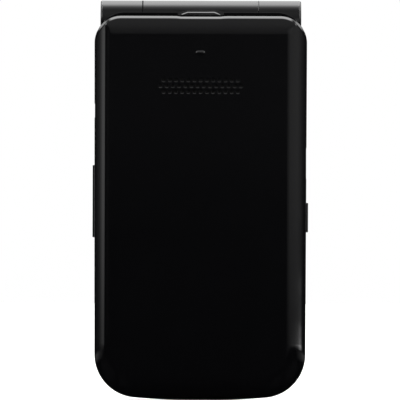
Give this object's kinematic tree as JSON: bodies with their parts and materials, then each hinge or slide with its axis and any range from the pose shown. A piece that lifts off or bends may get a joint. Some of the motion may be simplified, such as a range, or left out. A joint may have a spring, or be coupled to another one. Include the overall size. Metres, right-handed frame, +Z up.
{
  "type": "flip phone",
  "caption": "Closed clamshell telephone with a keypad half, a display lid on a spring-cam barrel hinge and a clip-off battery cover with a speaker grille.",
  "frame": {"origin": "middle of the overall box on the plane of the foot", "axes": "+Z up from the foot to the hinge, -Y out of the battery cover, +Y out of the lid, X across the width"},
  "size_m": [0.0558, 0.0193, 0.1036],
  "materials": {
    "gloss_shell": "piano-black gloss with a fine clear coat",
    "chassis": "smooth black moulded plastic",
    "keypad_shell": "satin black",
    "keycaps": "satin dark grey with pale printed legends",
    "nav_ring": "metallised satin silver",
    "side_keys": "smooth black",
    "battery_label": "grey plastic film over a cell",
    "contacts": "gold-plated",
    "board": "green solder mask",
    "shield": "tinned sheet",
    "dome_film": "clear polyester film",
    "key_rubber": "soft silicone",
    "speaker_body": "black plastic frame",
    "socket_plastic": "black engineering plastic",
    "screw_steel": "plain steel",
    "flex_film": "amber polyimide",
    "display_panel": "dark liquid-crystal panel, off",
    "window_glass": "dark tinted acrylic"
  },
  "bodies": {
    "base": {"rear_housing": "chassis", "keypad_housing": "keypad_shell", "keypad_plate": "keypad_shell", "battery": "battery_label", "battery_connector": "contacts", "main_board": "board", "shield_cans": "shield", "dome_sheet": "dome_film", "key_mat": "key_rubber", "loudspeaker": "speaker_body", "vibration_motor": "shield", "microphone": "shield", "usb_port": "shield", "audio_jack": "socket_plastic", "sim_holder": "shield", "antenna_carrier": "socket_plastic", "side_switches": "contacts", "base_screws": "screw_steel", "hinge_sleeve": "screw_steel", "hinge_flex": "flex_film", "hinge_cam_shaft": "screw_steel"},
    "battery_cover": {"battery_cover": "gloss_shell"},
    "volume_rocker": {"volume_rocker": "side_keys"},
    "side_button": {"side_button": "side_keys"},
    "lid": {"lid_outer_cover": "gloss_shell", "lid_inner_cover": "keypad_shell", "outer_window": "window_glass", "outer_display": "display_panel", "main_window": "window_glass", "main_display": "display_panel", "lid_board": "board", "earpiece": "speaker_body", "camera_module": "socket_plastic", "lid_magnet": "screw_steel", "lid_screws": "screw_steel", "lid_bumpers": "key_rubber", "hinge_cartridge": "screw_steel", "hinge_spring": "screw_steel", "knuckle_caps": "gloss_shell"},
    "key_1": {"key_1": "keycaps"},
    "key_2": {"key_2": "keycaps"},
    "key_3": {"key_3": "keycaps"},
    "key_4": {"key_4": "keycaps"},
    "key_5": {"key_5": "keycaps"},
    "key_6": {"key_6": "keycaps"},
    "key_7": {"key_7": "keycaps"},
    "key_8": {"key_8": "keycaps"},
    "key_9": {"key_9": "keycaps"},
    "key_star": {"key_star": "keycaps"},
    "key_0": {"key_0": "keycaps"},
    "key_hash": {"key_hash": "keycaps"},
    "soft_key_left": {"soft_key_left": "keycaps"},
    "soft_key_right": {"soft_key_right": "keycaps"},
    "call_key": {"call_key": "keycaps"},
    "end_key": {"end_key": "keycaps"},
    "speaker_key": {"speaker_key": "keycaps"},
    "clear_key": {"clear_key": "keycaps"},
    "camera_key": {"camera_key": "keycaps"},
    "nav_ring": {"nav_ring": "nav_ring"},
    "ok_key": {"ok_key": "keycaps"}
  },
  "joints": [
    {"name": "battery_cover_lift", "type": "slide", "parent": "base", "child": "battery_cover", "axis": [0, -1, 0], "range_m": [0, 0.012]},
    {"name": "lid_open", "type": "hinge", "parent": "base", "child": "lid", "pos_m": [0, 0.00145, 0.098], "axis": [1, 0, 0], "range_deg": [0, 160]},
    {"name": "press_key_1", "type": "slide", "parent": "base", "child": "key_1", "axis": [0, -1, 0], "range_m": [0, 0.00035], "stiffness_N_per_m": 600},
    {"name": "press_key_2", "type": "slide", "parent": "base", "child": "key_2", "axis": [0, -1, 0], "range_m": [0, 0.00035], "stiffness_N_per_m": 600},
    {"name": "press_key_3", "type": "slide", "parent": "base", "child": "key_3", "axis": [0, -1, 0], "range_m": [0, 0.00035], "stiffness_N_per_m": 600},
    {"name": "press_key_4", "type": "slide", "parent": "base", "child": "key_4", "axis": [0, -1, 0], "range_m": [0, 0.00035], "stiffness_N_per_m": 600},
    {"name": "press_key_5", "type": "slide", "parent": "base", "child": "key_5", "axis": [0, -1, 0], "range_m": [0, 0.00035], "stiffness_N_per_m": 600},
    {"name": "press_key_6", "type": "slide", "parent": "base", "child": "key_6", "axis": [0, -1, 0], "range_m": [0, 0.00035], "stiffness_N_per_m": 600},
    {"name": "press_key_7", "type": "slide", "parent": "base", "child": "key_7", "axis": [0, -1, 0], "range_m": [0, 0.00035], "stiffness_N_per_m": 600},
    {"name": "press_key_8", "type": "slide", "parent": "base", "child": "key_8", "axis": [0, -1, 0], "range_m": [0, 0.00035], "stiffness_N_per_m": 600},
    {"name": "press_key_9", "type": "slide", "parent": "base", "child": "key_9", "axis": [0, -1, 0], "range_m": [0, 0.00035], "stiffness_N_per_m": 600},
    {"name": "press_key_star", "type": "slide", "parent": "base", "child": "key_star", "axis": [0, -1, 0], "range_m": [0, 0.00035], "stiffness_N_per_m": 600},
    {"name": "press_key_0", "type": "slide", "parent": "base", "child": "key_0", "axis": [0, -1, 0], "range_m": [0, 0.00035], "stiffness_N_per_m": 600},
    {"name": "press_key_hash", "type": "slide", "parent": "base", "child": "key_hash", "axis": [0, -1, 0], "range_m": [0, 0.00035], "stiffness_N_per_m": 600},
    {"name": "press_soft_key_left", "type": "slide", "parent": "base", "child": "soft_key_left", "axis": [0, -1, 0], "range_m": [0, 0.00035], "stiffness_N_per_m": 600},
    {"name": "press_soft_key_right", "type": "slide", "parent": "base", "child": "soft_key_right", "axis": [0, -1, 0], "range_m": [0, 0.00035], "stiffness_N_per_m": 600},
    {"name": "press_call_key", "type": "slide", "parent": "base", "child": "call_key", "axis": [0, -1, 0], "range_m": [0, 0.00035], "stiffness_N_per_m": 600},
    {"name": "press_end_key", "type": "slide", "parent": "base", "child": "end_key", "axis": [0, -1, 0], "range_m": [0, 0.00035], "stiffness_N_per_m": 600},
    {"name": "press_speaker_key", "type": "slide", "parent": "base", "child": "speaker_key", "axis": [0, -1, 0], "range_m": [0, 0.00035], "stiffness_N_per_m": 600},
    {"name": "press_clear_key", "type": "slide", "parent": "base", "child": "clear_key", "axis": [0, -1, 0], "range_m": [0, 0.00035], "stiffness_N_per_m": 600},
    {"name": "press_camera_key", "type": "slide", "parent": "base", "child": "camera_key", "axis": [0, -1, 0], "range_m": [0, 0.00035], "stiffness_N_per_m": 600},
    {"name": "press_nav_ring", "type": "slide", "parent": "base", "child": "nav_ring", "axis": [0, -1, 0], "range_m": [0, 0.00035], "stiffness_N_per_m": 600},
    {"name": "press_ok_key", "type": "slide", "parent": "base", "child": "ok_key", "axis": [0, -1, 0], "range_m": [0, 0.00035], "stiffness_N_per_m": 600},
    {"name": "push_side_button", "type": "slide", "parent": "base", "child": "side_button", "axis": [-1, 0, 0], "range_m": [0, 0.0003], "stiffness_N_per_m": 600},
    {"name": "rock_volume_rocker", "type": "hinge", "parent": "base", "child": "volume_rocker", "pos_m": [-0.0257, -0.003, 0.0514], "axis": [0, 1, 0], "range_deg": [-1.5, 1.5], "stiffness_Nm_per_rad": 0.02}
  ]
}
